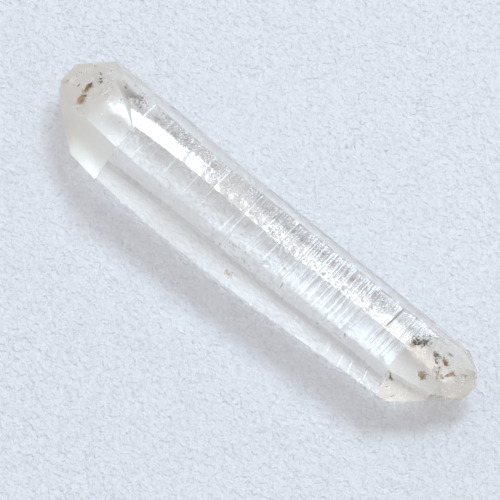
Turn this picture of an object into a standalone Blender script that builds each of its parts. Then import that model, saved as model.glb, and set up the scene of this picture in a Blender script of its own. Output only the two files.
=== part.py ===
"""Double terminated quartz crystal, one solid lying on one of its prism faces.

The c axis runs along X. Sizes are in metres, +Z is up, and the origin is the middle of the bottom.
A face is placed by the way it looks and its distance from the point where the axes cross:
its turn about the c axis, from +Z towards +Y, and its tilt, the angle from its normal to the c axis.
"""

import math
import random

import bmesh
import bpy
from mathutils import Matrix, Vector

MM = 0.001

# Crystal angles, in degrees
PRISM_STEP = 60.0
R_TILT = 51.79
STEEP_TILT = 68.5
FRONT_STEEP_TURN = 303.0
FRONT_STEEP_TILT = 68.0
TIP_TURN = 294.6
TIP_TILT = 38.0
TURN = {
    "top": 0.0,
    "back": 60.0,
    "back_under": 120.0,
    "bottom": 180.0,
    "front_under": 240.0,
    "front": 300.0,
}

# Cross-sections along the c axis, in mm: place, height, the y of the top face's front and back edges,
# and the widths of the front and back faces that slope down from them
SECTIONS = (
    (-21.5, 8.03, -2.86, 1.86, 3.90, 3.30),
    (-17.6, 7.94, -2.90, 1.76, 3.88, 3.50),
    (-12.4, 7.79, -2.99, 1.60, 3.84, 3.88),
    (-6.0, 7.45, -3.05, 1.42, 4.06, 3.85),
    (1.5, 7.12, -3.03, 1.44, 3.87, 3.40),
    (8.2, 6.82, -3.05, 1.48, 3.32, 3.22),
    (14.2, 6.59, -3.04, 1.48, 2.84, 2.90),
    (20.5, 6.42, -3.01, 1.45, 2.75, 2.85),
)

# End faces: which end (-1 left, 1 right), turn, tilt, and distance in mm
END_FACES = {
    "left_top_steep": (-1, TURN["top"], STEEP_TILT, 12.35),
    "left_front_steep": (-1, FRONT_STEEP_TURN, FRONT_STEEP_TILT, 10.89),
    "left_front": (-1, TURN["front"], R_TILT, 14.55),
    "left_top": (-1, TURN["top"], R_TILT, 15.42),
    "left_back": (-1, TURN["back"], R_TILT, 15.29),
    "left_front_under": (-1, TURN["front_under"], R_TILT, 11.35),
    "left_bottom": (-1, TURN["bottom"], R_TILT, 10.05),
    "left_back_under": (-1, TURN["back_under"], R_TILT, 12.58),
    "right_top": (1, TURN["top"], R_TILT, 14.68),
    "right_front": (1, TURN["front"], R_TILT, 13.55),
    "right_back": (1, TURN["back"], R_TILT, 14.22),
    "right_front_under": (1, TURN["front_under"], R_TILT, 10.80),
    "right_bottom": (1, TURN["bottom"], R_TILT, 9.69),
    "right_back_under": (1, TURN["back_under"], R_TILT, 11.75),
    "right_tip": (1, TIP_TURN, TIP_TILT, 15.72),
}

# Each end drops by one growth step on its front side: the lower face and the riser
STEP_FACES = {
    "left_top_low": (-1, TURN["top"], STEEP_TILT, 11.76),
    "left_riser": (-1, TURN["front"], R_TILT, 11.42),
    "right_top_low": (1, TURN["top"], R_TILT, 13.97),
    "right_riser": (1, TURN["front"], R_TILT, 11.27),
}
STEPS = (("left_top_low", "left_riser"), ("right_top_low", "right_riser"))

# Growth lines: low ledges across the prism faces, in mm. The top has its clearest ones at set places,
# the bottom has none, so that the crystal lies flat, and the others have some at random.
TOP_LEDGES = (
    *(-12.42, -11.80, -11.48, -10.86, -10.20, -4.74, -4.58, -2.20, 0.27),
    *(3.69, 3.92, 4.60, 5.37, 5.64, 6.50, 6.90, 7.50, 7.62, 8.06, 8.45, 8.87, 9.06),
    *(12.13, 12.67, 13.14),
)
LEDGE_COUNT = {"back": 30, "back_under": 36, "front_under": 30, "front": 34}
LEDGE_DEPTH = (0.006, 0.030)
LEDGE_WIDTH = 0.035
LEDGE_FADE = (0.5, 2.2)
LEDGE_MARGIN = 1.0
SEED = 11

# Rings of corners along the prism: the widest and the narrowest gap between two of them, in mm
RING_GAP = 0.9
RING_MERGE = 0.01

# Pits in the ends: the face, then x, y and radius in mm. Each is squeezed by chance within PIT_STRETCH.
PIT_STRETCH = ((0.8, 1.5), (0.6, 1.1), (0.7, 1.0))
PITS = (
    ("left_top", -18.24, 0.87, 0.17),
    ("left_top", -18.16, 0.21, 0.24),
    ("left_top", -17.71, -1.02, 0.27),
    ("left_top", -18.83, 0.08, 0.22),
    ("left_top", -19.70, 0.45, 0.30),
    ("left_top", -19.50, 1.55, 0.26),
    ("left_top", -19.02, 2.10, 0.22),
    ("left_top_low", -17.90, 1.60, 0.11),
    ("left_top_low", -17.66, 1.25, 0.13),
    ("left_top_low", -17.38, 0.98, 0.11),
    ("right_top_low", 16.08, 0.65, 0.34),
    ("right_top_low", 16.66, 0.80, 0.24),
    ("right_top_low", 16.60, -0.14, 0.30),
    ("right_top_low", 17.02, -0.28, 0.24),
    ("right_top_low", 16.23, -1.21, 0.30),
    ("right_top_low", 17.43, 0.62, 0.22),
    ("right_top_low", 18.20, 1.10, 0.20),
    ("right_top", 16.92, 1.26, 0.22),
    ("right_top", 16.35, 1.10, 0.26),
    ("right_front", 14.70, -3.22, 0.14),
)

QUARTZ_COLOUR = (0.93, 0.945, 0.955, 1.0)
QUARTZ_IOR = 1.544
QUARTZ_ROUGHNESS = 0.02

# A cutter's side, and how near a cut may run to a corner and take it over, in mm
CUTTER_SIZE = 120.0
CUT_MERGE = 1e-4


def collection(name):
    made = bpy.data.collections.new(name)
    bpy.context.scene.collection.children.link(made)
    return made


def clear_glass():
    material = bpy.data.materials.new("clear_quartz")
    material.use_nodes = True
    shader = material.node_tree.nodes["Principled BSDF"]
    shader.inputs["Base Color"].default_value = QUARTZ_COLOUR
    shader.inputs["Roughness"].default_value = QUARTZ_ROUGHNESS
    shader.inputs["Metallic"].default_value = 0.0
    shader.inputs["IOR"].default_value = QUARTZ_IOR
    shader.inputs["Transmission Weight"].default_value = 1.0
    return material


def prism_normal(name):
    turn = math.radians(TURN[name])
    return Vector((0.0, math.sin(turn), math.cos(turn)))


def end_normal(turn_deg, tilt_deg, end):
    """The normal of an end face. end is -1 on the left and 1 on the right."""
    turn, tilt = math.radians(turn_deg), math.radians(tilt_deg)
    across = math.sin(tilt)
    return Vector((end * math.cos(tilt), across * math.sin(turn), across * math.cos(turn)))


def face_distances(section):
    """How far each prism face of a cross-section is from the c axis, in mm."""
    _, height, front_y, back_y, front_width, back_width = section
    rise, run = math.sin(math.radians(PRISM_STEP)), math.cos(math.radians(PRISM_STEP))
    on_face = {
        "top": (front_y, height),
        "back": (back_y, height),
        "back_under": (back_y + run * back_width, height - rise * back_width),
        "bottom": (0.0, 0.0),
        "front_under": (front_y - run * front_width, height - rise * front_width),
        "front": (front_y, height),
    }
    return {name: prism_normal(name).dot(Vector((0.0, y, z))) for name, (y, z) in on_face.items()}


def smooth_between(places, values, x):
    """A smooth curve through the values, with slopes carried from neighbour to neighbour."""
    last = len(places) - 1
    at = max(0, min(last - 1, sum(1 for place in places[1:] if place <= x)))

    def slope(i):
        low, high = max(0, i - 1), min(last, i + 1)
        return (values[high] - values[low]) / (places[high] - places[low])

    width = places[at + 1] - places[at]
    t = (x - places[at]) / width
    return (
        (2 * t**3 - 3 * t**2 + 1) * values[at]
        + (t**3 - 2 * t**2 + t) * width * slope(at)
        + (3 * t**2 - 2 * t**3) * values[at + 1]
        + (t**3 - t**2) * width * slope(at + 1)
    )


def ledges(places, rng):
    """Growth lines as (x, depth, fade): a sharp drop at x, which fills again over the fade."""
    return [(place, rng.uniform(*LEDGE_DEPTH), rng.uniform(*LEDGE_FADE)) for place in sorted(places)]


def all_ledges():
    rng = random.Random(SEED)
    low, high = SECTIONS[0][0] + LEDGE_MARGIN, SECTIONS[-1][0] - LEDGE_MARGIN
    made = {"top": ledges(TOP_LEDGES, rng)}
    for name, count in LEDGE_COUNT.items():
        made[name] = ledges([rng.uniform(low, high) for _ in range(count)], rng)
    return made


def relief(face_ledges, x):
    """How far the growth lines push a face in at x: the deepest of the ledges that reach x."""
    deepest = 0.0
    for place, depth, fade in face_ledges:
        if place <= x <= place + LEDGE_WIDTH:
            deepest = max(deepest, depth * (x - place) / LEDGE_WIDTH)
        elif place + LEDGE_WIDTH < x < place + fade:
            deepest = max(deepest, depth * (place + fade - x) / (fade - LEDGE_WIDTH))
    return deepest


def ring_places(faces):
    """Where a ring of corners is needed: at each ledge's top and foot, and now and then between."""
    low, high = SECTIONS[0][0], SECTIONS[-1][0]
    places = {low, high}
    for face_ledges in faces.values():
        for place, _, _ in face_ledges:
            places.update((place, place + LEDGE_WIDTH))
    kept = []
    for place in sorted(places):
        while kept and place - kept[-1] > RING_GAP:
            kept.append(kept[-1] + RING_GAP)
        if not kept or place - kept[-1] > RING_MERGE:
            kept.append(place)
    return kept


def corner(first, second, distances):
    """Where two neighbouring prism faces meet, in the plane across the c axis."""
    cosine = math.cos(math.radians(PRISM_STEP))
    sine_squared = 1.0 - cosine**2
    near, far = distances[first], distances[second]
    point = (near - far * cosine) * prism_normal(first) + (far - near * cosine) * prism_normal(second)
    return point / sine_squared


def prism_mesh():
    """The six prism faces with their growth lines, longer than the crystal and closed at both ends."""
    faces = all_ledges()
    places = [section[0] for section in SECTIONS]
    table = [face_distances(section) for section in SECTIONS]
    names = list(TURN)
    mesh = bmesh.new()
    rings = []
    for x in ring_places(faces):
        distances = {}
        for name in names:
            whole = smooth_between(places, [row[name] for row in table], x)
            distances[name] = whole - relief(faces.get(name, ()), x)
        ring = []
        for i, name in enumerate(names):
            point = corner(name, names[(i + 1) % len(names)], distances)
            ring.append(mesh.verts.new((x, point.y, point.z)))
        rings.append(ring)
    for near, far in zip(rings, rings[1:]):
        for i in range(len(names)):
            j = (i + 1) % len(names)
            mesh.faces.new((near[i], near[j], far[j], far[i]))
    mesh.faces.new(rings[0])
    mesh.faces.new(reversed(rings[-1]))
    return mesh


def cut_off(mesh, normal, distance):
    """Removes what lies outside a flat face and closes the cut."""
    found = bmesh.ops.bisect_plane(
        mesh,
        geom=mesh.verts[:] + mesh.edges[:] + mesh.faces[:],
        dist=CUT_MERGE,
        plane_co=normal * distance,
        plane_no=normal,
        clear_outer=True,
    )
    edges = [item for item in found["geom_cut"] if isinstance(item, bmesh.types.BMEdge)]
    bmesh.ops.contextual_create(mesh, geom=edges)
    bmesh.ops.recalc_face_normals(mesh, faces=mesh.faces)


def object_from(mesh, name, group, material=None):
    """An object from a mesh that was made in mm."""
    bmesh.ops.scale(mesh, vec=(MM, MM, MM), verts=mesh.verts)
    data = bpy.data.meshes.new(name)
    mesh.to_mesh(data)
    mesh.free()
    made = bpy.data.objects.new(name, data)
    group.objects.link(made)
    if material:
        data.materials.append(material)
    return made


def crystal_body(group):
    mesh = prism_mesh()
    for end, turn, tilt, distance in END_FACES.values():
        cut_off(mesh, end_normal(turn, tilt, end), distance)
    return object_from(mesh, "quartz_crystal", group, clear_glass())


def step_cutter(names, group):
    """The space above a growth step: outside its lower face and outside its riser."""
    mesh = bmesh.new()
    bmesh.ops.create_cube(mesh, size=CUTTER_SIZE)
    for name in names:
        end, turn, tilt, distance = STEP_FACES[name]
        cut_off(mesh, -end_normal(turn, tilt, end), -distance)
    return object_from(mesh, names[0] + "_cutter", group)


def on_face(name, x, y):
    """The point of an end face at this x and y, in mm."""
    end, turn, tilt, distance = {**END_FACES, **STEP_FACES}[name]
    normal = end_normal(turn, tilt, end)
    return Vector((x, y, (distance - normal.x * x - normal.y * y) / normal.z))


def pit_cutter(number, pit, rng, group):
    """A small rough hollow: a coarse ball squeezed and turned by chance."""
    face, x, y, radius = pit
    mesh = bmesh.new()
    bmesh.ops.create_icosphere(mesh, subdivisions=1, radius=radius)
    turn = Matrix.Rotation(rng.uniform(0.0, math.tau), 3, Vector((rng.random(), rng.random(), 1.0)))
    stretch = Matrix.Diagonal([rng.uniform(low, high) for low, high in PIT_STRETCH])
    for vert in mesh.verts:
        vert.co = turn @ (stretch @ vert.co) + on_face(face, x, y)
    return object_from(mesh, f"pit_{number}_cutter", group)


def subtract(body, cutter):
    cutter.hide_render = True
    cutter.display_type = "WIRE"
    cut = body.modifiers.new(cutter.name, "BOOLEAN")
    cut.operation = "DIFFERENCE"
    cut.solver = "EXACT"
    cut.object = cutter


def centre_on_origin(objects, body):
    """Moves everything so that the middle of the body's bottom is the origin."""
    bpy.context.view_layer.update()
    corners = [body.matrix_world @ Vector(point) for point in body.bound_box]
    low = [min(point[i] for point in corners) for i in range(3)]
    high = [max(point[i] for point in corners) for i in range(3)]
    shift = Vector((-(low[0] + high[0]) / 2, -(low[1] + high[1]) / 2, -low[2]))
    for item in objects:
        item.data.transform(Matrix.Translation(shift))


def main():
    for item in list(bpy.data.objects):
        bpy.data.objects.remove(item)
    body = crystal_body(collection("double_terminated_quartz_crystal"))
    cutters = collection("cutters")
    made = [step_cutter(names, cutters) for names in STEPS]
    rng = random.Random(SEED)
    made += [pit_cutter(number, pit, rng, cutters) for number, pit in enumerate(PITS, start=1)]
    for cutter in made:
        subtract(body, cutter)
    centre_on_origin([body] + made, body)


main()
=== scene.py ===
"""Looks of a double terminated quartz crystal that lies on one of its prism faces.

The crystal is built again with a fine surface, on the frame of the solid it stands for. Lengths that
describe the crystal are in mm and are scaled once, when a mesh is made. Everything else is in metres.
A face is placed by its turn about the c axis, from +Z towards +Y, its tilt, which is the angle from
its normal to the c axis, and its distance from the point where the axes cross.
"""

import math
import random

import bmesh
import bpy
import numpy as np
from mathutils import Matrix, Quaternion, Vector, noise

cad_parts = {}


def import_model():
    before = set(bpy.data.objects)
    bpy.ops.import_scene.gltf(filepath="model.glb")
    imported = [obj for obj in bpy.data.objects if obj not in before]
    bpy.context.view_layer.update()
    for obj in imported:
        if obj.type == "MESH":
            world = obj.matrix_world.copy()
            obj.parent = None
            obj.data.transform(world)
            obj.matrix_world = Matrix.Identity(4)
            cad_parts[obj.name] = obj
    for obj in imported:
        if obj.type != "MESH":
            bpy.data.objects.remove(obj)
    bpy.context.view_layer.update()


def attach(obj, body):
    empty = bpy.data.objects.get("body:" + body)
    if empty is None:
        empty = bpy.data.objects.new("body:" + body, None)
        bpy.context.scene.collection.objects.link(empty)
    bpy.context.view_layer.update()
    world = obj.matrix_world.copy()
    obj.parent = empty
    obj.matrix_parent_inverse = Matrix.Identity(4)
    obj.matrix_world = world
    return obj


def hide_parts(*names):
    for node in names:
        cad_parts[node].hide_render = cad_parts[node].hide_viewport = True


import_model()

MM = 0.001
NODE = "quartz_crystal"

# Seeds: the growth lines and pits, the stains and the veil
SEED = 11
STAIN_SEED = SEED + 20
VEIL_SEED = SEED + 30

# Crystal angles, in degrees
R_TILT = 51.79
STEEP_TILT = 68.5
FRONT_STEEP_TURN = 303.0
FRONT_STEEP_TILT = 68.0
TIP_TURN = 294.6
TIP_TILT = 38.0
PRISM_STEP = 60.0
TURN = {
    "top": 0.0,
    "back": 60.0,
    "back_under": 120.0,
    "bottom": 180.0,
    "front_under": 240.0,
    "front": 300.0,
}
FACES = list(TURN)

# Cross-sections along the c axis, in mm: place, height, the y of the top face's front and back edges,
# and the widths of the front and back faces that slope down from them
SECTIONS = (
    (-21.5, 8.03, -2.86, 1.86, 3.90, 3.30),
    (-17.6, 7.94, -2.90, 1.76, 3.88, 3.50),
    (-12.4, 7.79, -2.99, 1.60, 3.84, 3.88),
    (-6.0, 7.45, -3.05, 1.42, 4.06, 3.85),
    (1.5, 7.12, -3.03, 1.44, 3.87, 3.40),
    (8.2, 6.82, -3.05, 1.48, 3.32, 3.22),
    (14.2, 6.59, -3.04, 1.48, 2.84, 2.90),
    (20.5, 6.42, -3.01, 1.45, 2.75, 2.85),
)

# End faces: which end (-1 left, 1 right), turn, tilt, and distance in mm
END_FACES = {
    "left_top_steep": (-1, TURN["top"], STEEP_TILT, 12.35),
    "left_front_steep": (-1, FRONT_STEEP_TURN, FRONT_STEEP_TILT, 10.89),
    "left_front": (-1, TURN["front"], R_TILT, 14.55),
    "left_top": (-1, TURN["top"], R_TILT, 15.42),
    "left_back": (-1, TURN["back"], R_TILT, 15.29),
    "left_front_under": (-1, TURN["front_under"], R_TILT, 11.35),
    "left_bottom": (-1, TURN["bottom"], R_TILT, 10.05),
    "left_back_under": (-1, TURN["back_under"], R_TILT, 12.58),
    "right_top": (1, TURN["top"], R_TILT, 14.68),
    "right_front": (1, TURN["front"], R_TILT, 13.55),
    "right_back": (1, TURN["back"], R_TILT, 14.22),
    "right_front_under": (1, TURN["front_under"], R_TILT, 10.80),
    "right_bottom": (1, TURN["bottom"], R_TILT, 9.69),
    "right_back_under": (1, TURN["back_under"], R_TILT, 11.75),
    "right_tip": (1, TIP_TURN, TIP_TILT, 15.72),
}

# Each end drops by one growth step on its front side: the lower face and the riser
STEP_FACES = {
    "left_top_low": (-1, TURN["top"], STEEP_TILT, 11.76),
    "left_riser": (-1, TURN["front"], R_TILT, 11.42),
    "right_top_low": (1, TURN["top"], R_TILT, 13.97),
    "right_riser": (1, TURN["front"], R_TILT, 11.27),
}
STEPS = (("left_top_low", "left_riser"), ("right_top_low", "right_riser"))

# Pits in the ends: the face, then x, y and radius in mm. Each is squeezed by chance within PIT_STRETCH.
PIT_STRETCH = ((0.8, 1.5), (0.6, 1.1), (0.7, 1.0))
PITS = (
    ("left_top", -18.24, 0.87, 0.17),
    ("left_top", -18.16, 0.21, 0.24),
    ("left_top", -17.71, -1.02, 0.27),
    ("left_top", -18.83, 0.08, 0.22),
    ("left_top", -19.70, 0.45, 0.30),
    ("left_top", -19.50, 1.55, 0.26),
    ("left_top", -19.02, 2.10, 0.22),
    ("left_top_low", -17.90, 1.60, 0.11),
    ("left_top_low", -17.66, 1.25, 0.13),
    ("left_top_low", -17.38, 0.98, 0.11),
    ("right_top_low", 16.08, 0.65, 0.34),
    ("right_top_low", 16.66, 0.80, 0.24),
    ("right_top_low", 16.60, -0.14, 0.30),
    ("right_top_low", 17.02, -0.28, 0.24),
    ("right_top_low", 16.23, -1.21, 0.30),
    ("right_top_low", 17.43, 0.62, 0.22),
    ("right_top_low", 18.20, 1.10, 0.20),
    ("right_top", 16.92, 1.26, 0.22),
    ("right_top", 16.35, 1.10, 0.26),
    ("right_front", 14.70, -3.22, 0.14),
)

# A pit's form: how rough it is and how finely its ball is divided, how fine its noise is and how fast that
# fades, the step in the noise from pit to pit, and how many radii it may reach
PIT_ROUGH = 0.35
PIT_DETAIL = 3
PIT_NOISE = 1.6
PIT_NOISE_FALL = 0.6
PIT_TWIST = 3.0
PIT_REACH = 2.0

# Surface grid of the prism: the step between its rings in mm, and the columns across each face
RING_STEP = 0.05
COLUMNS = {"top": 16, "back": 8, "back_under": 42, "bottom": 8, "front_under": 10, "front": 12}

# Growth lines of the top face: place in mm, depth in mm, and where across the face each starts and ends
TOP_LINES = (
    (-12.42, 0.013, -0.2, 1.2),
    (-11.80, 0.005, -0.2, 0.8),
    (-11.48, 0.004, 0.1, 1.2),
    (-10.86, 0.007, 0.05, 0.5),
    (-10.20, 0.004, -0.2, 0.7),
    (-4.74, 0.010, 0.35, 1.2),
    (-4.58, 0.006, -0.2, 0.35),
    (-2.20, 0.004, 0.0, 0.5),
    (0.27, 0.005, 0.35, 0.8),
    (3.69, 0.005, 0.3, 1.2),
    (3.92, 0.004, 0.0, 1.2),
    (4.60, 0.005, 0.3, 1.2),
    (5.37, 0.005, 0.5, 1.2),
    (5.64, 0.013, 0.05, 1.2),
    (6.50, 0.005, 0.3, 1.2),
    (6.90, 0.007, -0.2, 1.2),
    (7.50, 0.013, -0.2, 1.2),
    (7.62, 0.010, -0.2, 1.2),
    (8.06, 0.006, -0.2, 0.7),
    (8.45, 0.006, 0.3, 1.2),
    (8.87, 0.012, 0.4, 1.2),
    (9.06, 0.005, 0.1, 0.9),
    (12.13, 0.050, 0.02, 1.2),
    (12.67, 0.006, 0.0, 0.4),
    (13.14, 0.005, 0.0, 0.5),
)
# Where the top's fine lines crowd: a share of them, and the stretch of x
CROWDS = ((0.45, 1.6, 9.8), (0.25, -13.2, -10.4), (0.12, -6.5, -4.0), (0.18, -21.0, 20.0))

# A line's form: how far it takes to drop and to fill again, in mm, for fine lines and for the top's clear
# ones. Then how softly it starts and stops, and how far a fine one reaches, as shares of the face.
LINE_RISE = 0.07
LINE_FADE = (0.10, 0.45)
TOP_FADE = (0.06, 0.15)
LINE_SOFT = 0.08
LINE_REACH = (0.1, 0.9)

# Fine growth lines at random: how many each face has, and their greatest depth in mm
FINE_LINES = {
    "top": (220, 0.0045),
    "back": (90, 0.007),
    "back_under": (90, 0.007),
    "bottom": (70, 0.003),
    "front_under": (120, 0.014),
    "front": (240, 0.024),
}

# Wear along the prism's edges: width as a share of the face, depth and wavelength in mm, how strongly the
# noise acts, and its limits. The bottom's own two edges have none.
EDGE_WIDTH = 0.020
EDGE_DEPTH = 0.014
EDGE_LENGTH = 0.9
EDGE_GAIN = 1.5
EDGE_LIMITS = (-0.9, 2.0)
UNWORN = (FACES.index("bottom"), FACES.index("bottom") + 1)

# Slow waves of the faces, and the rough growth on the lower back face, in mm. Across the face the growth
# sets in within ROUGH_ACROSS, and along it it starts and ends within the last two stretches.
FACE_WIDTH = 4.0
WAVE_DEPTH = 0.006
WAVE_LENGTH = 2.6
ROUGH_DEPTH = 0.040
ROUGH_LENGTH = 0.25
ROUGH_ACROSS = (0.64, 0.76)
ROUGH_FROM, ROUGH_TO = (-7.5, -4.0), (9.0, 10.6)

# Where each kind of surface noise is read: a place in the noise, and the step from face to face
WAVE_SEED_STEP = 10.0
EDGE_SEED, EDGE_SEED_STEP = 50.0, 3
ROUGH_SEED = 7.3
FACE_NOISE_FALL = 0.8
OCTAVE_STEP = 2.0

# Stains in and near the pits, each a patch of small crusts: the face, x, y, spread along and across in mm,
# the turn of its length in degrees, how many crusts, and how ochre (0) or dark (1) it is
STAINS = (
    ("left_top_low", -18.02, 0.45, 0.13, 0.050, 60.0, 26, 0.85),
    ("left_top_low", -17.93, 0.20, 0.17, 0.075, 65.0, 46, 0.45),
    ("left_top_low", -17.90, -0.10, 0.14, 0.120, 70.0, 60, 0.08),
    ("left_top_low", -17.60, -0.62, 0.10, 0.060, 20.0, 16, 0.85),
    ("left_top_low", -17.64, -0.95, 0.16, 0.140, 70.0, 70, 0.12),
    ("left_top_low", -17.50, -1.22, 0.12, 0.090, 60.0, 30, 0.25),
    ("left_top_low", -17.90, 1.60, 0.05, 0.030, 0.0, 10, 0.75),
    ("left_top_low", -17.66, 1.25, 0.07, 0.035, 30.0, 14, 0.80),
    ("left_top_low", -17.40, 1.00, 0.08, 0.030, 70.0, 12, 0.70),
    ("left_top", -20.06, 0.05, 0.12, 0.070, 0.0, 14, 0.35),
    ("left_top", -19.05, 0.02, 0.10, 0.060, 50.0, 10, 0.35),
    ("left_top", -19.55, 1.20, 0.22, 0.160, 20.0, 14, 0.00),
    ("right_top_low", 16.20, -1.28, 0.16, 0.120, 20.0, 60, 0.12),
    ("right_top_low", 16.32, -1.40, 0.08, 0.060, 60.0, 20, 0.55),
    ("right_top_low", 16.70, 0.78, 0.14, 0.110, 0.0, 46, 0.20),
    ("right_top_low", 16.78, 0.72, 0.06, 0.050, 0.0, 16, 0.80),
    ("right_top_low", 16.55, 1.50, 0.07, 0.060, 0.0, 16, 0.45),
    ("right_top_low", 16.85, -0.30, 0.20, 0.050, 115.0, 34, 0.22),
    ("right_top_low", 17.20, -0.20, 0.035, 0.030, 0.0, 8, 1.00),
    ("right_top_low", 17.52, 0.58, 0.12, 0.080, 50.0, 26, 0.15),
    ("right_top_low", 17.36, 0.25, 0.10, 0.050, 80.0, 18, 0.22),
    ("right_top_low", 18.05, 1.20, 0.12, 0.060, 20.0, 10, 0.05),
    ("right_top_low", 15.98, 0.55, 0.13, 0.090, 60.0, 26, 0.95),
    ("right_top_low", 16.20, 0.28, 0.12, 0.080, 20.0, 18, 0.85),
    ("right_front", 14.70, -3.22, 0.08, 0.050, 0.0, 18, 0.75),
    ("front", -0.20, -4.40, 0.20, 0.120, 10.0, 22, 0.05),
)
CRUST_SIZE = (0.024, 0.078)
CRUST_DEPTH = (0.00, 0.09)

# Dust and dark grains: a face, x, y and radius in mm
GRAINS = (
    ("top", -0.81, -2.16, 0.050),
    ("top", 13.30, 1.30, 0.070),
    ("front", -0.75, -3.13, 0.065),
    ("front", 14.75, -3.30, 0.070),
    ("top", 3.10, -1.90, 0.026),
    ("top", -9.80, -1.20, 0.024),
    ("front", 6.40, -3.90, 0.030),
    ("front", -7.20, -4.10, 0.028),
)

# Films of fine grains inside: the path as points in mm, how many grains, their sizes, their spread in x, y
# and z, and how ochre (0) or dark (1) they are
FILMS = (
    (
        ((14.10, -0.25, 6.10), (14.75, 0.45, 6.00), (15.25, 1.00, 5.85)),
        270, (0.024, 0.085), (0.16, 0.22, 0.09), 0.90,
    ),
    (
        ((15.25, 1.00, 5.85), (16.0, 1.30, 5.50), (16.9, 1.45, 5.1)),
        50, (0.018, 0.050), (0.18, 0.16, 0.08), 0.85,
    ),
    (
        ((12.10, 1.30, 6.50), (12.04, 0.30, 6.50), (11.98, -0.45, 6.50)),
        260, (0.014, 0.032), (0.010, 0.05, 0.02), 1.0,
    ),
    (
        ((-16.4, 1.80, 6.12), (-15.3, 1.50, 6.54), (-14.4, 1.20, 6.78), (-13.6, 1.40, 6.85)),
        520, (0.018, 0.050), (0.30, 0.16, 0.05), 0.80,
    ),
    (
        ((-14.1, 1.05, 6.85), (-13.3, 0.70, 6.95)),
        60, (0.018, 0.045), (0.12, 0.10, 0.06), 0.80,
    ),
    (
        ((-6.3, 0.95, 6.9), (-5.9, 0.55, 6.9)),
        50, (0.016, 0.040), (0.16, 0.14, 0.10), 0.35,
    ),
    (
        ((-16.0, -3.85, 3.5), (-15.1, -4.20, 3.6), (-14.3, -4.50, 3.7)),
        900, (0.012, 0.028), (0.40, 0.25, 0.35), 0.10,
    ),
)
FILM_MARGIN = 0.0

# Painted shade: thin films of dark grains just under the lower back face, which darken the band where the
# floor's shadow is seen through the crystal. From x to x, how many grains, and from where to where across
# the face, as shares from its upper edge
PAINTED_SHADE_FILMS = (
    (-3.0, 10.8, 1500, 0.40, 0.66),
    (-13.2, -9.4, 420, 0.40, 0.66),
    (11.2, 13.6, 160, 0.40, 0.66),
)
PAINTED_SHADE_DEPTH = (0.04, 0.11)
PAINTED_SHADE_SIZE = (0.012, 0.030)
PAINTED_SHADE_DARKNESS = 0.92

# The shape of a crust or a film's grain: how rough it is, how much narrower than long, its height as a
# share of its length, and how far its shade strays. Dust is the grains on the faces, sunk in a little.
# NOISE_RANGE is how far apart the noise of two grains may be read.
LUMP_ROUGH = 0.8
LUMP_NOISE = 1.3
LUMP_NARROW = (0.4, 1.0)
CRUST_HEIGHT, FILM_HEIGHT = 0.4, 0.35
CRUST_STRAY, FILM_STRAY = 0.12, 0.1
CRUST_DETAIL, FILM_DETAIL = 2, 1
DUST_STRETCH = (0.6, 1.1)
DUST_ROUGH = 0.6
DUST_SHADE = 0.85
DUST_SUNK = 0.2
NOISE_RANGE = 90.0

# The milky veil: fine flakes inside, in clouds of a count, a middle x and a spread, all within the same y
# and z, in mm. A flake's corners lie at FLAKE_CORNER of its size.
VEIL_CLOUDS = ((5200, -6.6, 1.9), (2200, -16.0, 2.2), (2600, 16.0, 1.6), (1800, 0.0, 12.0))
VEIL_SIZE = (0.016, 0.040)
VEIL_ACROSS, VEIL_UP = (-5.5, 3.8), (0.2, 7.8)
FLAKE_CORNER = (0.5, 1.0)

# Bright flakes just under a face: the face, x, y, spread in x and y in mm, how many
SPARKS = (
    ("right_top", 16.66, 1.55, 0.06, 0.05, 60),
    ("right_top_low", 16.05, 0.80, 0.05, 0.12, 60),
    ("right_top_low", 16.42, -0.20, 0.04, 0.12, 50),
    ("right_top_low", 16.45, -1.80, 0.12, 0.05, 40),
    ("right_top_low", 18.30, 1.35, 0.04, 0.10, 40),
    ("right_tip", 18.1, -1.1, 0.35, 0.55, 400),
    ("left_front_steep", -15.1, -4.25, 0.85, 0.45, 500),
    ("front", -12.4, -4.20, 0.75, 0.40, 260),
    ("left_top_low", -15.55, 1.15, 0.03, 0.10, 30),
    ("top", 8.95, 1.05, 0.08, 0.05, 40),
    ("top", 11.0, 0.75, 0.10, 0.06, 30),
    ("front", -8.9, -3.9, 0.04, 0.04, 16),
    ("front", -14.3, -4.2, 0.05, 0.05, 20),
)
SPARK_DEPTH = (0.03, 0.16)

# How far inside all the faces the bright flakes and the veil's flakes stay, in mm
SPARK_MARGIN = 0.02
VEIL_MARGIN = 0.22

# A cutter's side, and how near a cut may run to a corner and take it over, in mm
CUTTER_SIZE = 120.0
CUT_MERGE = 1e-4

# Edges sharper than this, in degrees, stay sharp in the shading
SHARP_ANGLE = 12

# Camera: the photograph's viewing angle
CAMERA_AZIMUTH = 40.9
CAMERA_ELEVATION = 65.0
CAMERA_TARGET = (-0.00094, 0.00063, 0.0)
CAMERA_DISTANCE = 0.8
FRAME_WIDTH = 0.03745
SENSOR = 36.0
CLIP_START, CLIP_END = 0.01, 10.0

# Floor: its half side, and the air left under the crystal, in mm
FLOOR_SIZE = 600.0
FLOOR_GAP = 0.03
FLOOR_COLOUR = (0.88, 0.90, 0.93, 1.0)
FLOOR_ROUGHNESS = 0.5
FLOOR_GRAIN = 0.00045
FLOOR_STRETCH = (2.4, 2.4, 2.4)

# Quartz: where each end's etching starts and is full, in mm. END_LEAN is how far a face leans towards an
# end before it is etched, and TOP_LEAN how level one is that is etched less, as parts of its normal.
LEFT_TIP = (-10.5, -12.0)
RIGHT_TIP = (9.5, 11.0)
END_LEAN = (0.12, 0.30)
TOP_LEAN = (0.82, 0.90)
TOP_ETCHING = 0.56

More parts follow.
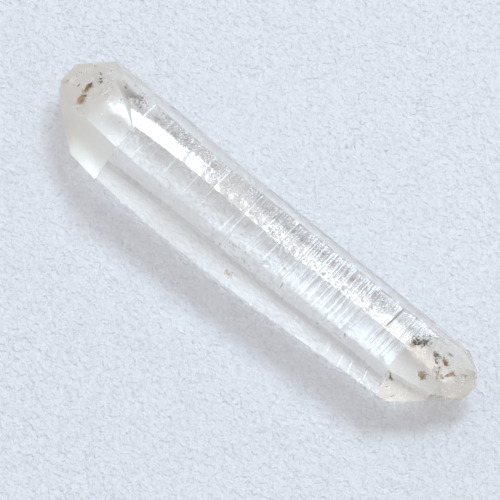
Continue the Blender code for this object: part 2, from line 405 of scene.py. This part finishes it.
# Quartz: its looks, with the depths of its hairlines and grain in metres
QUARTZ_IOR = 1.544
QUARTZ_CLARITY = 0.95
BODY_COLOUR = (0.995, 0.985, 0.965, 1.0)
TIP_COLOUR = (0.975, 0.915, 0.825, 1.0)
LEFT_TINT = 0.9
BODY_ROUGHNESS = 0.02
LEFT_ROUGHNESS = 0.52
RIGHT_ROUGHNESS = 0.24
ETCHING_RANGE = (0.6, 1.3)
HAIRLINE_DEPTH = 0.000004
HAIRLINE_STRETCH = (9.0, 0.25, 0.25)
GRAIN_DEPTH = 0.0000015
GRAIN_STRETCH = (2.2, 2.2, 2.2)

# Stain and veil colours
OCHRE = (0.55, 0.40, 0.20, 1.0)
BROWN = (0.22, 0.13, 0.055, 1.0)
DARK_GREY = (0.14, 0.125, 0.105, 1.0)
VEIL_COLOURS = ((0.93, 0.92, 0.90, 1.0), (0.88, 0.85, 0.80, 1.0))

# Stain and veil surfaces: how the stain's shade and roughness vary, where it is brown, its bump in metres
STAIN_STRETCH = (5.0, 5.0, 5.0)
STAIN_VARIES = (-0.45, 0.45)
STAIN_ROUGHNESS = (0.55, 0.95)
STAIN_BUMP = 0.00003
BROWN_AT = 0.55
VEIL_STRETCH = (0.8, 0.8, 0.8)
VEIL_ROUGHNESS = (0.45, 0.75)

# Light: the sky's colour, the key light, the soft glow of sky around it, and a brighter side of the sky
SKY_COLOUR = (0.670, 0.664, 0.695)
KEY_AZIMUTH, KEY_ELEVATION = 180.0, 67.0
KEY_DISTANCE, KEY_SIZE = 0.5, 0.18
KEY_POWER = 0.74
KEY_COLOUR = (0.704, 0.893, 1.02)
GLOW_COLOUR = (0.4, 0.42, 0.44)
GLOW_EDGES = (0.980, 0.988)
SIDE_AZIMUTH, SIDE_ELEVATION = -105.0, 42.0
SIDE_COLOUR = (0.36, 0.34, 0.30)
SIDE_EDGES = (0.86, 0.98)

# How often light may be bent or mirrored, in all and by the crystal
LIGHT_BOUNCES = 40
GLASS_BOUNCES = 32


def link(item):
    bpy.context.scene.collection.objects.link(item)
    return item


def prism_normal(name):
    turn = math.radians(TURN[name])
    return Vector((0.0, math.sin(turn), math.cos(turn)))


def end_normal(turn_deg, tilt_deg, end):
    """The normal of an end face. end is -1 on the left and 1 on the right."""
    turn, tilt = math.radians(turn_deg), math.radians(tilt_deg)
    across = math.sin(tilt)
    return Vector((end * math.cos(tilt), across * math.sin(turn), across * math.cos(turn)))


def face_distances(section):
    """How far each prism face of a cross-section is from the c axis, in mm."""
    _, height, front_y, back_y, front_width, back_width = section
    rise, run = math.sin(math.radians(PRISM_STEP)), math.cos(math.radians(PRISM_STEP))
    on_face = {
        "top": (front_y, height),
        "back": (back_y, height),
        "back_under": (back_y + run * back_width, height - rise * back_width),
        "bottom": (0.0, 0.0),
        "front_under": (front_y - run * front_width, height - rise * front_width),
        "front": (front_y, height),
    }
    return [prism_normal(name).dot(Vector((0.0, *on_face[name]))) for name in FACES]


def smooth_between(places, values, x):
    """A smooth curve through the values, whose slope at each value comes from that value's neighbours."""
    last = len(places) - 1
    at = max(0, min(last - 1, sum(1 for place in places[1:] if place <= x)))

    def slope(i):
        low, high = max(0, i - 1), min(last, i + 1)
        return (values[high] - values[low]) / (places[high] - places[low])

    width = places[at + 1] - places[at]
    t = (x - places[at]) / width
    return (
        (2 * t**3 - 3 * t**2 + 1) * values[at]
        + (t**3 - 2 * t**2 + t) * width * slope(at)
        + (3 * t**2 - 2 * t**3) * values[at + 1]
        + (t**3 - t**2) * width * slope(at + 1)
    )


def corner(first, second, near, far):
    """Where two neighbouring prism faces meet, for arrays of their distances."""
    cosine = math.cos(math.radians(PRISM_STEP))
    sine_squared = 1.0 - cosine**2
    first, second = np.array(prism_normal(first)), np.array(prism_normal(second))
    a = (near - far * cosine)[:, None] * first
    b = (far - near * cosine)[:, None] * second
    return (a + b) / sine_squared


def soft_step(value, low, high):
    """0 below low, 1 above high and smooth between. Works on numbers and on arrays."""
    t = np.clip((value - low) / (high - low), 0.0, 1.0)
    return t * t * (3 - 2 * t)


def add_line(field, xs, across, line):
    """Presses one growth line into a face: a sharp drop at its place, which fills again."""
    place, depth, fade, start, stop = line
    first, last = np.searchsorted(xs, (place - LINE_RISE, place + fade))
    x = xs[first:last]
    along = np.where(x < place, (x - place + LINE_RISE) / LINE_RISE, 1 - (x - place) / fade)
    window = soft_step(across, start, start + LINE_SOFT) * (1 - soft_step(across, stop - LINE_SOFT, stop))
    field[first:last] = np.maximum(field[first:last], depth * along[:, None] * window[None, :])


def growth_lines(name, rng):
    """The growth lines of a face as (place, depth, fade, start, stop)."""
    low, high = SECTIONS[0][0], SECTIONS[-1][0]
    lines = []
    if name == "top":
        lines += [(x, depth, rng.uniform(*TOP_FADE), start, stop) for x, depth, start, stop in TOP_LINES]
    count, deepest = FINE_LINES[name]
    crowds = CROWDS if name == "top" else ((1.0, low, high),)
    for share, first, last in crowds:
        for _ in range(round(count * share)):
            middle, reach = rng.uniform(0.0, 1.0), rng.uniform(*LINE_REACH)
            depth = deepest * rng.random() ** 2
            place, fade = rng.uniform(first, last), rng.uniform(*LINE_FADE)
            lines.append((place, depth, fade, middle - reach, middle + reach))
    return lines


def noise_field(xs, across, width, length, seed, octaves=2):
    """Smooth noise between -1 and 1 on a face's grid."""
    made = np.empty((len(xs), len(across)))
    for i, x in enumerate(xs):
        for j, t in enumerate(across):
            point = Vector((x / length, t * width / length, seed))
            made[i, j] = noise.fractal(point, FACE_NOISE_FALL, OCTAVE_STEP, octaves)
    return made


def face_relief(name, xs, across):
    """How far each point of a face is pushed in, in mm, on a grid of places along and across it."""
    index = FACES.index(name)
    field = np.zeros((len(xs), len(across)))
    rng = random.Random(SEED + index)
    for line in growth_lines(name, rng):
        add_line(field, xs, across, line)
    field += WAVE_DEPTH * (1 + noise_field(xs, across, FACE_WIDTH, WAVE_LENGTH, WAVE_SEED_STEP * index))
    for column, side in ((0, index), (-1, index + 1)):
        if side in UNWORN:
            continue
        seed = EDGE_SEED + EDGE_SEED_STEP * (side % len(FACES))
        worn = noise_field(xs, (0.0,), 1.0, EDGE_LENGTH, seed, octaves=4)[:, 0]
        field[:, column] += EDGE_DEPTH * (1 + np.clip(worn * EDGE_GAIN, *EDGE_LIMITS))
    if name == "back_under":
        patch = soft_step(xs, *ROUGH_FROM) * (1 - soft_step(xs, *ROUGH_TO))
        patch = patch[:, None] * soft_step(across, *ROUGH_ACROSS)[None, :]
        rough = 1 + noise_field(xs, across, FACE_WIDTH, ROUGH_LENGTH, ROUGH_SEED, octaves=3)
        field += ROUGH_DEPTH * patch * rough
    return field


def face_columns(count):
    """Places across a face from 0 to 1, with a narrow column along each edge for its wear."""
    return np.concatenate(([0.0], np.linspace(EDGE_WIDTH, 1 - EDGE_WIDTH, count - 1), [1.0]))


def prism_mesh():
    """The six prism faces with their growth lines, longer than the crystal and closed at both ends."""
    low, high = SECTIONS[0][0], SECTIONS[-1][0]
    xs = np.arange(low, high + RING_STEP / 2, RING_STEP)
    places = [section[0] for section in SECTIONS]
    table = [face_distances(section) for section in SECTIONS]
    across = {name: face_columns(COLUMNS[name]) for name in FACES}
    relief = {name: face_relief(name, xs, across[name]) for name in FACES}
    whole = {
        name: np.array([smooth_between(places, [row[i] for row in table], x) for x in xs])
        for i, name in enumerate(FACES)
    }
    rings = []
    count = len(FACES)
    for i, name in enumerate(FACES):
        before, after = FACES[i - 1], FACES[(i + 1) % count]
        first, last = whole[name] - relief[name][:, 0], whole[name] - relief[name][:, -1]
        start = corner(before, name, whole[before] - relief[before][:, -1], first)
        end = corner(name, after, last, whole[after] - relief[after][:, 0])
        t = across[name][None, :-1]
        flat = start[:, None, :] * (1 - t[:, :, None]) + end[:, None, :] * t[:, :, None]
        edge = relief[name][:, :1] * (1 - t) + relief[name][:, -1:] * t
        push = relief[name][:, :-1] - edge
        rings.append(flat - push[:, :, None] * np.array(prism_normal(name)))
    ring = np.concatenate(rings, axis=1)
    ring[:, :, 0] = xs[:, None]
    along, around = ring.shape[:2]
    index = np.arange(along * around).reshape(along, around)
    near, far = index[:-1], index[1:]
    quads = np.stack([near, np.roll(near, -1, 1), np.roll(far, -1, 1), far], axis=-1).reshape(-1, 4)
    ends = [index[0].tolist(), index[-1, ::-1].tolist()]
    data = bpy.data.meshes.new("prism")
    data.from_pydata(ring.reshape(-1, 3), [], quads.tolist() + ends)
    mesh = bmesh.new()
    mesh.from_mesh(data)
    bpy.data.meshes.remove(data)
    return mesh


def cut_off(mesh, normal, distance):
    """Removes what lies outside a flat face and closes the cut."""
    found = bmesh.ops.bisect_plane(
        mesh,
        geom=mesh.verts[:] + mesh.edges[:] + mesh.faces[:],
        dist=CUT_MERGE,
        plane_co=normal * distance,
        plane_no=normal,
        clear_outer=True,
    )
    edges = [item for item in found["geom_cut"] if isinstance(item, bmesh.types.BMEdge)]
    bmesh.ops.contextual_create(mesh, geom=edges)


def object_from(mesh, name, material=None):
    """An object from a mesh that was made in mm."""
    bmesh.ops.scale(mesh, vec=(MM, MM, MM), verts=mesh.verts)
    data = bpy.data.meshes.new(name)
    mesh.to_mesh(data)
    mesh.free()
    if material:
        data.materials.append(material)
    return link(bpy.data.objects.new(name, data))


def step_cutter(names):
    """The space above a growth step: outside its lower face and outside its riser."""
    mesh = bmesh.new()
    bmesh.ops.create_cube(mesh, size=CUTTER_SIZE)
    for name in names:
        end, turn, tilt, distance = STEP_FACES[name]
        cut_off(mesh, -end_normal(turn, tilt, end), -distance)
    bmesh.ops.recalc_face_normals(mesh, faces=mesh.faces)
    return object_from(mesh, names[0] + "_cutter")


def on_face(name, x, y):
    """The point of a face at this x and y, in mm, and the face's normal."""
    if name in TURN:
        places = [section[0] for section in SECTIONS]
        distances = [face_distances(section)[FACES.index(name)] for section in SECTIONS]
        normal, distance = prism_normal(name), smooth_between(places, distances, x)
    else:
        end, turn, tilt, distance = {**END_FACES, **STEP_FACES}[name]
        normal = end_normal(turn, tilt, end)
    return Vector((x, y, (distance - normal.x * x - normal.y * y) / normal.z)), normal


def add_lump(mesh, place, shape, rough, detail, twist):
    """Adds a ball that is shaped by a matrix and roughened by noise."""
    made = bmesh.ops.create_icosphere(mesh, subdivisions=detail, radius=1.0)
    for vert in made["verts"]:
        point = vert.co * PIT_NOISE + Vector((twist, 0.0, 0.0))
        swell = 1 + rough * noise.fractal(point, PIT_NOISE_FALL, OCTAVE_STEP, 3)
        vert.co = shape @ (vert.co * swell) + place


def pit_cutters():
    """The pits' hollows, joined into as few cutters as keep them apart."""
    rng = random.Random(SEED)
    groups = []
    for number, (face, x, y, radius) in enumerate(PITS):
        turn = Matrix.Rotation(rng.uniform(0.0, math.tau), 3, Vector((rng.random(), rng.random(), 1.0)))
        stretch = Matrix.Diagonal([rng.uniform(low, high) for low, high in PIT_STRETCH])
        place, _ = on_face(face, x, y)
        reach = radius * PIT_REACH
        for mesh, others in groups:
            if all((place - other).length > reach + far for other, far in others):
                break
        else:
            mesh, others = bmesh.new(), []
            groups.append((mesh, others))
        others.append((place, reach))
        add_lump(mesh, place, turn @ stretch * radius, PIT_ROUGH, PIT_DETAIL, PIT_TWIST * number)
    return [object_from(mesh, f"pits_{i}") for i, (mesh, _) in enumerate(groups)]


def subtract(body, cutter):
    """Takes the cutter out of the body's mesh and removes the cutter."""
    cut = body.modifiers.new(cutter.name, "BOOLEAN")
    cut.operation = "DIFFERENCE"
    cut.solver = "EXACT"
    cut.object = cutter
    depsgraph = bpy.context.evaluated_depsgraph_get()
    made = bpy.data.meshes.new_from_object(body.evaluated_get(depsgraph))
    body.modifiers.clear()
    body.data = made
    bpy.data.objects.remove(cutter)


def set_on_frame(body):
    """Moves the middle of the crystal's bottom to the frame's origin. Returns the move, in metres."""
    count = len(body.data.vertices)
    points = np.zeros(count * 3)
    body.data.vertices.foreach_get("co", points)
    points = points.reshape(-1, 3)
    low, high = points.min(0), points.max(0)
    shift = Vector((-(low[0] + high[0]) / 2, -(low[1] + high[1]) / 2, -low[2]))
    body.data.transform(Matrix.Translation(shift))
    return shift


def crystal(material):
    """The crystal in the place of its solid. Returns how far it was moved to be there, in metres."""
    mesh = prism_mesh()
    for end, turn, tilt, distance in END_FACES.values():
        cut_off(mesh, end_normal(turn, tilt, end), distance)
    bmesh.ops.recalc_face_normals(mesh, faces=mesh.faces)
    body = object_from(mesh, "crystal", material)
    for names in STEPS:
        subtract(body, step_cutter(names))
    for cutter in pit_cutters():
        subtract(body, cutter)
    shift = set_on_frame(body)
    body.data.shade_smooth()
    body.data.set_sharp_from_angle(angle=math.radians(SHARP_ANGLE))
    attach(body, "root")
    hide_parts(NODE)
    return shift


def ball(detail):
    """The corners and triangles of a ball, as arrays."""
    mesh = bmesh.new()
    bmesh.ops.create_icosphere(mesh, subdivisions=detail, radius=1.0)
    mesh.verts.index_update()
    points = np.array([vert.co for vert in mesh.verts])
    faces = np.array([[vert.index for vert in face.verts] for face in mesh.faces])
    mesh.free()
    return points, faces


class Lumps:
    """Many small rough balls that become one mesh, each with its own shade."""

    def __init__(self):
        self.points, self.faces, self.shades, self.count = [], [], [], 0
        self.balls = {detail: ball(detail) for detail in (1, 2)}

    def add(self, place, shape, rough, detail, shade, twist):
        """One ball, shaped by a matrix and roughened by noise that is read at the twist."""
        points, faces = self.balls[detail]
        aside = Vector((twist, 0.0, 0.0))
        swell = [1 + rough * noise.noise(Vector(point) * LUMP_NOISE + aside) for point in points]
        made = (points * np.array(swell)[:, None]) @ np.array(shape).T + np.array(place)
        self.points.append(made)
        self.faces.append(faces + self.count)
        self.shades.append(np.full(len(points), shade))
        self.count += len(points)

    def object(self, name, shift, material):
        """All the balls as one object, moved by the shift in metres."""
        data = bpy.data.meshes.new(name)
        points = np.concatenate(self.points) * MM + np.array(shift)
        data.from_pydata(points, [], np.concatenate(self.faces).tolist())
        shade = data.attributes.new("shade", "FLOAT", "POINT")
        shade.data.foreach_set("value", np.concatenate(self.shades))
        data.materials.append(material)
        data.shade_smooth()
        return link(bpy.data.objects.new(name, data))


def under_back(x, across, depth):
    """A point under the lower back face: its x, how far down the face (0 to 1) and its depth in mm."""
    places = [section[0] for section in SECTIONS]
    height, back_y, width = (
        smooth_between(places, [section[column] for section in SECTIONS], x) for column in (1, 3, 5)
    )
    rise, run = math.sin(math.radians(PRISM_STEP)), math.cos(math.radians(PRISM_STEP))
    edge = Vector((x, back_y + run * width, height - rise * width))
    down = Vector((0.0, -run, -rise)) * (edge.z / rise)
    return edge + down * across - prism_normal("back_under") * depth


def stains_and_painted_shade(shift, material):
    """Ochre and dark crusts in the pits, grains on the faces, films of grains inside, and painted shade:
    dark grains under the lower back face that darken the band where the floor's shadow shows through.
    """
    rng = random.Random(STAIN_SEED)
    lumps = Lumps()
    table = prism_table()
    for face, x, y, long, wide, turn, count, shade in STAINS:
        for _ in range(count):
            aside = Vector((rng.gauss(0.0, long), rng.gauss(0.0, wide)))
            aside.rotate(Matrix.Rotation(math.radians(turn), 2))
            place, normal = on_face(face, x + aside.x, y + aside.y)
            size = rng.uniform(*CRUST_SIZE)
            spin = Matrix.Rotation(rng.uniform(0.0, math.tau), 3, "Z")
            flat = Matrix.Diagonal((size, size * rng.uniform(*LUMP_NARROW), size * CRUST_HEIGHT))
            shape = normal.to_track_quat("Z", "Y").to_matrix() @ spin @ flat
            place -= normal * rng.uniform(*CRUST_DEPTH)
            stray = rng.uniform(-CRUST_STRAY, CRUST_STRAY)
            twist = rng.uniform(0.0, NOISE_RANGE)
            lumps.add(place, shape, LUMP_ROUGH, CRUST_DETAIL, shade + stray, twist)
    for face, x, y, radius in GRAINS:
        place, normal = on_face(face, x, y)
        shape = Matrix.Diagonal([radius * rng.uniform(*DUST_STRETCH) for _ in range(3)])
        place -= normal * radius * DUST_SUNK
        lumps.add(place, shape, DUST_ROUGH, CRUST_DETAIL, DUST_SHADE, rng.uniform(0.0, NOISE_RANGE))
    for path, count, sizes, spreads, shade in FILMS:
        for _ in range(count):
            t = rng.uniform(0.0, len(path) - 1.001)
            low, high = (Vector(point) for point in path[int(t):int(t) + 2])
            place = low.lerp(high, t % 1) + Vector([rng.gauss(0.0, spread) for spread in spreads])
            size = rng.uniform(*sizes)
            shape = Matrix.Diagonal([size, size * rng.uniform(*LUMP_NARROW), size * FILM_HEIGHT])
            stray, twist = rng.uniform(-FILM_STRAY, FILM_STRAY), rng.uniform(0.0, NOISE_RANGE)
            if inside(place, table, FILM_MARGIN):
                lumps.add(place, shape, LUMP_ROUGH, FILM_DETAIL, shade + stray, twist)
    # Painted shade: dark grains under the lower back face that darken the band where the floor's shadow
    # shows through
    for first, last, count, upper, lower in PAINTED_SHADE_FILMS:
        for _ in range(count):
            x, across = rng.uniform(first, last), rng.uniform(upper, lower)
            place = under_back(x, across, rng.uniform(*PAINTED_SHADE_DEPTH))
            size = rng.uniform(*PAINTED_SHADE_SIZE)
            narrow, low = size * rng.uniform(*LUMP_NARROW), size * rng.uniform(*LUMP_NARROW)
            stray, twist = rng.uniform(-FILM_STRAY, FILM_STRAY), rng.uniform(0.0, NOISE_RANGE)
            shape = Matrix.Diagonal([size, narrow, low])
            lumps.add(place, shape, LUMP_ROUGH, FILM_DETAIL, PAINTED_SHADE_DARKNESS + stray, twist)
    # One mesh: the real stains, dust and films, and the painted shade under the lower back face
    made = lumps.object("iron_stain", shift, material)
    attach(made, "root")


def prism_table():
    """The distances of each prism face at the cross-sections, face by face."""
    return list(zip(*(face_distances(section) for section in SECTIONS)))


def inside(place, table, margin):
    """Whether a place is under all the crystal's faces, by a margin in mm."""
    places = [section[0] for section in SECTIONS]
    for i, name in enumerate(FACES):
        distance = smooth_between(places, table[i], place.x)
        if prism_normal(name).dot(place) > distance - margin:
            return False
    faces = [*END_FACES.values(), *(STEP_FACES[low] for low, _ in STEPS)]
    return all(end_normal(turn, tilt, end).dot(place) < d - margin for end, turn, tilt, d in faces)


def veil(shift, material):
    """The milky haze: thousands of fine flakes inside the crystal."""
    rng = random.Random(VEIL_SEED)
    table = prism_table()
    points, faces = [], []

    def flake(place):
        turn = Quaternion([rng.gauss(0.0, 1.0) for _ in range(4)]).normalized()
        size = rng.uniform(*VEIL_SIZE)
        first = len(points)
        for x, y in ((-1, -1), (1, -1), (1, 1), (-1, 1)):
            tip = Vector((x * rng.uniform(*FLAKE_CORNER), y * rng.uniform(*FLAKE_CORNER), 0.0)) * size
            points.append((turn @ tip + place + shift / MM) * MM)
        faces.append(range(first, first + 4))

    for count, middle, spread in VEIL_CLOUDS:
        made = 0
        while made < count:
            place = Vector((rng.gauss(middle, spread), rng.uniform(*VEIL_ACROSS), rng.uniform(*VEIL_UP)))
            if SECTIONS[0][0] < place.x < SECTIONS[-1][0] and inside(place, table, VEIL_MARGIN):
                flake(place)
                made += 1
    for face, x, y, spread_x, spread_y, count in SPARKS:
        for _ in range(count):
            place, normal = on_face(face, x + rng.gauss(0.0, spread_x), y + rng.gauss(0.0, spread_y))
            place -= normal * rng.uniform(*SPARK_DEPTH)
            if inside(place, table, SPARK_MARGIN):
                flake(place)
    data = bpy.data.meshes.new("veil")
    data.from_pydata(points, [], [list(face) for face in faces])
    data.materials.append(material)
    made = link(bpy.data.objects.new("veil", data))
    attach(made, "root")


def node(tree, kind, **values):
    """A node with its settings, in small letters, and its input values, with a capital."""
    made = tree.nodes.new(kind)
    for key, value in values.items():
        if key[0].isupper():
            made.inputs[key].default_value = value
        else:
            setattr(made, key, value)
    return made


def mix_values(tree, factor, low, high):
    """A number that goes from low to high with the factor."""
    made = node(tree, "ShaderNodeMapRange")
    made.inputs["To Min"].default_value = low
    made.inputs["To Max"].default_value = high
    tree.links.new(factor, made.inputs["Value"])
    return made.outputs["Result"]


def math_node(tree, operation, first, second):
    """An arithmetic node. Each of its two inputs is a socket or a number."""
    made = node(tree, "ShaderNodeMath", operation=operation)
    for i, value in enumerate((first, second)):
        if isinstance(value, bpy.types.NodeSocket):
            tree.links.new(value, made.inputs[i])
        else:
            made.inputs[i].default_value = value
    return made.outputs["Value"]


def place_in_mm(tree):
    """The place on the piece in mm, as a vector socket."""
    where = node(tree, "ShaderNodeTexCoord")
    scaled = node(tree, "ShaderNodeVectorMath", operation="SCALE")
    scaled.inputs["Scale"].default_value = 1 / MM
    tree.links.new(where.outputs["Object"], scaled.inputs[0])
    return scaled.outputs["Vector"]


def noise_on(tree, where, stretch, detail=3.0, roughness=0.55):
    """Noise on the place times a stretch in each direction."""
    scaled = node(tree, "ShaderNodeVectorMath", operation="MULTIPLY")
    scaled.inputs[1].default_value = stretch
    tree.links.new(where, scaled.inputs[0])
    made = node(tree, "ShaderNodeTexNoise", Scale=1.0, Detail=detail, Roughness=roughness)
    tree.links.new(scaled.outputs["Vector"], made.inputs["Vector"])
    return made.outputs["Fac"]


def range_of(tree, value, low, high):
    """0 where the value is low, 1 where it is high, smooth between."""
    made = node(tree, "ShaderNodeMapRange", interpolation_type="SMOOTHSTEP")
    made.inputs["From Min"].default_value = low
    made.inputs["From Max"].default_value = high
    tree.links.new(value, made.inputs["Value"])
    return made.outputs["Result"]


def bump(tree, height, distance, before=None):
    """A surface normal that is tilted by the height, on top of the one before if there is one."""
    made = node(tree, "ShaderNodeBump", Strength=1.0, Distance=distance)
    tree.links.new(height, made.inputs["Height"])
    if before:
        tree.links.new(before, made.inputs["Normal"])
    return made.outputs["Normal"]


def clear_quartz():
    """Clear glossy crystal, a little etched and warm at both ends, with hairline growth lines."""
    material = bpy.data.materials.new("clear_quartz")
    material.use_nodes = True
    tree = material.node_tree
    shader = tree.nodes["Principled BSDF"]
    shader.inputs["IOR"].default_value = QUARTZ_IOR
    shader.inputs["Transmission Weight"].default_value = QUARTZ_CLARITY
    where = place_in_mm(tree)
    parts = node(tree, "ShaderNodeSeparateXYZ")
    tree.links.new(where, parts.inputs[0])
    along = parts.outputs["X"]
    left = range_of(tree, along, *LEFT_TIP)
    right = range_of(tree, along, *RIGHT_TIP)
    lean = node(tree, "ShaderNodeSeparateXYZ")
    tree.links.new(node(tree, "ShaderNodeTexCoord").outputs["Normal"], lean.inputs[0])
    leaning = range_of(tree, math_node(tree, "ABSOLUTE", lean.outputs["X"], 0.0), *END_LEAN)
    upward = range_of(tree, lean.outputs["Z"], *TOP_LEAN)
    etched = math_node(tree, "MULTIPLY", leaning, mix_values(tree, upward, 1.0, TOP_ETCHING))
    left = math_node(tree, "MULTIPLY", left, etched)
    right = math_node(tree, "MULTIPLY", right, leaning)
    hairlines = noise_on(tree, where, HAIRLINE_STRETCH, detail=4.0)
    grain = noise_on(tree, where, GRAIN_STRETCH, detail=5.0)
    normal = bump(tree, hairlines, HAIRLINE_DEPTH)
    normal = bump(tree, grain, GRAIN_DEPTH, normal)
    tree.links.new(normal, shader.inputs["Normal"])
    patchy = mix_values(tree, grain, *ETCHING_RANGE)
    tinted = math_node(tree, "ADD", math_node(tree, "MULTIPLY", left, LEFT_TINT), right)
    tinted = math_node(tree, "MULTIPLY", tinted, patchy)
    rough_left = math_node(tree, "MULTIPLY", left, LEFT_ROUGHNESS)
    rough_right = math_node(tree, "MULTIPLY", right, RIGHT_ROUGHNESS)
    roughness = math_node(tree, "MULTIPLY", math_node(tree, "ADD", rough_left, rough_right), patchy)
    roughness = math_node(tree, "ADD", roughness, BODY_ROUGHNESS)
    tree.links.new(roughness, shader.inputs["Roughness"])
    tint = node(tree, "ShaderNodeMix", data_type="RGBA")
    tint.inputs["A"].default_value = BODY_COLOUR
    tint.inputs["B"].default_value = TIP_COLOUR
    tree.links.new(tinted, tint.inputs["Factor"])
    tree.links.new(tint.outputs["Result"], shader.inputs["Base Color"])
    return material


def stain_and_painted_shade_material():
    """Dull mineral stain, from ochre to dark brown and grey by the mesh's shade and by noise. It also
    colours the painted shade under the lower back face.
    """
    material = bpy.data.materials.new("iron_stain")
    material.use_nodes = True
    tree = material.node_tree
    shader = tree.nodes["Principled BSDF"]
    where = place_in_mm(tree)
    patches = noise_on(tree, where, STAIN_STRETCH, detail=4.0)
    shade = node(tree, "ShaderNodeAttribute", attribute_name="shade").outputs["Fac"]
    value = math_node(tree, "ADD", shade, mix_values(tree, patches, *STAIN_VARIES))
    ramp = node(tree, "ShaderNodeValToRGB")
    tree.links.new(value, ramp.inputs["Fac"])
    stops = ramp.color_ramp.elements
    stops[0].position, stops[0].color = 0.0, OCHRE
    stops[1].position, stops[1].color = 1.0, DARK_GREY
    middle = stops.new(BROWN_AT)
    middle.color = BROWN
    tree.links.new(ramp.outputs["Color"], shader.inputs["Base Color"])
    tree.links.new(mix_values(tree, patches, *STAIN_ROUGHNESS), shader.inputs["Roughness"])
    tree.links.new(bump(tree, patches, STAIN_BUMP), shader.inputs["Normal"])
    return material


def veil_material():
    """Flakes of the veil: white, a little warmer in patches."""
    material = bpy.data.materials.new("veil_flakes")
    material.use_nodes = True
    tree = material.node_tree
    shader = tree.nodes["Principled BSDF"]
    patches = noise_on(tree, place_in_mm(tree), VEIL_STRETCH)
    tint = node(tree, "ShaderNodeMix", data_type="RGBA")
    tint.inputs["A"].default_value = VEIL_COLOURS[0]
    tint.inputs["B"].default_value = VEIL_COLOURS[1]
    tree.links.new(patches, tint.inputs["Factor"])
    tree.links.new(tint.outputs["Result"], shader.inputs["Base Color"])
    tree.links.new(mix_values(tree, patches, *VEIL_ROUGHNESS), shader.inputs["Roughness"])
    return material


def floor_material():
    """A pale sheet with a fine grain."""
    material = bpy.data.materials.new("pale_sheet")
    material.use_nodes = True
    tree = material.node_tree
    shader = tree.nodes["Principled BSDF"]
    shader.inputs["Base Color"].default_value = FLOOR_COLOUR
    shader.inputs["Roughness"].default_value = FLOOR_ROUGHNESS
    grain = noise_on(tree, place_in_mm(tree), FLOOR_STRETCH, detail=2.0)
    tree.links.new(bump(tree, grain, FLOOR_GRAIN), shader.inputs["Normal"])
    return material


def floor():
    """The sheet that the crystal lies on."""
    mesh = bmesh.new()
    bmesh.ops.create_grid(mesh, x_segments=1, y_segments=1, size=FLOOR_SIZE)
    bmesh.ops.translate(mesh, vec=(0.0, 0.0, -FLOOR_GAP), verts=mesh.verts)
    made = object_from(mesh, "floor", floor_material())


def aim(item, target):
    item.rotation_euler = (Vector(target) - item.location).to_track_quat("-Z", "Y").to_euler()


def direction(azimuth, elevation):
    """A unit vector from the origin: azimuth 0 is towards -Y and 90 towards +X."""
    turn, rise = math.radians(azimuth), math.radians(elevation)
    return Vector((math.cos(rise) * math.sin(turn), -math.cos(rise) * math.cos(turn), math.sin(rise)))


def camera():
    """The camera at the photograph's angle, far off, so that the crystal's ends look alike in size."""
    lens = bpy.data.cameras.new("camera")
    lens.sensor_width = SENSOR
    lens.lens = SENSOR * CAMERA_DISTANCE / FRAME_WIDTH
    lens.clip_start = CLIP_START
    lens.clip_end = CLIP_END
    made = link(bpy.data.objects.new("camera", lens))
    made.location = Vector(CAMERA_TARGET) + direction(CAMERA_AZIMUTH, CAMERA_ELEVATION) * CAMERA_DISTANCE
    aim(made, CAMERA_TARGET)
    bpy.context.scene.camera = made


def key_light():
    """A soft round light high behind the crystal, to the right in the picture."""
    lamp = bpy.data.lights.new("key", "AREA")
    lamp.shape = "DISK"
    lamp.size = KEY_SIZE
    lamp.energy = KEY_POWER
    lamp.color = KEY_COLOUR
    made = link(bpy.data.objects.new("key", lamp))
    made.location = direction(KEY_AZIMUTH, KEY_ELEVATION) * KEY_DISTANCE
    aim(made, (0.0, 0.0, 0.0))


def world():
    """A plain pale sky that glows softly around the key light and is brighter on one side."""
    made = bpy.data.worlds.new("world")
    bpy.context.scene.world = made
    made.use_nodes = True
    tree = made.node_tree
    back = tree.nodes["Background"]
    where = node(tree, "ShaderNodeTexCoord")
    sky = node(tree, "ShaderNodeRGB")
    sky.outputs["Color"].default_value = (*SKY_COLOUR, 1.0)
    colour = sky.outputs["Color"]
    for towards, edges, added in (
        (direction(KEY_AZIMUTH, KEY_ELEVATION), GLOW_EDGES, GLOW_COLOUR),
        (direction(SIDE_AZIMUTH, SIDE_ELEVATION), SIDE_EDGES, SIDE_COLOUR),
    ):
        nearness = node(tree, "ShaderNodeVectorMath", operation="DOT_PRODUCT")
        nearness.inputs[1].default_value = towards
        tree.links.new(where.outputs["Generated"], nearness.inputs[0])
        mix = node(tree, "ShaderNodeMix", data_type="RGBA", blend_type="ADD")
        mix.inputs["B"].default_value = (*added, 1.0)
        tree.links.new(range_of(tree, nearness.outputs["Value"], *edges), mix.inputs["Factor"])
        tree.links.new(colour, mix.inputs["A"])
        colour = mix.outputs["Result"]
    tree.links.new(colour, back.inputs["Color"])


def main():
    scene = bpy.context.scene
    scene.view_settings.view_transform = "Standard"
    scene.cycles.max_bounces = LIGHT_BOUNCES
    scene.cycles.glossy_bounces = GLASS_BOUNCES
    scene.cycles.transmission_bounces = GLASS_BOUNCES
    # With no blur the key light passes through the crystal and reaches the floor under it
    scene.cycles.blur_glossy = 0.0
    camera()
    world()
    key_light()
    floor()
    shift = crystal(clear_quartz())
    stains_and_painted_shade(shift, stain_and_painted_shade_material())
    veil(shift, veil_material())


main()
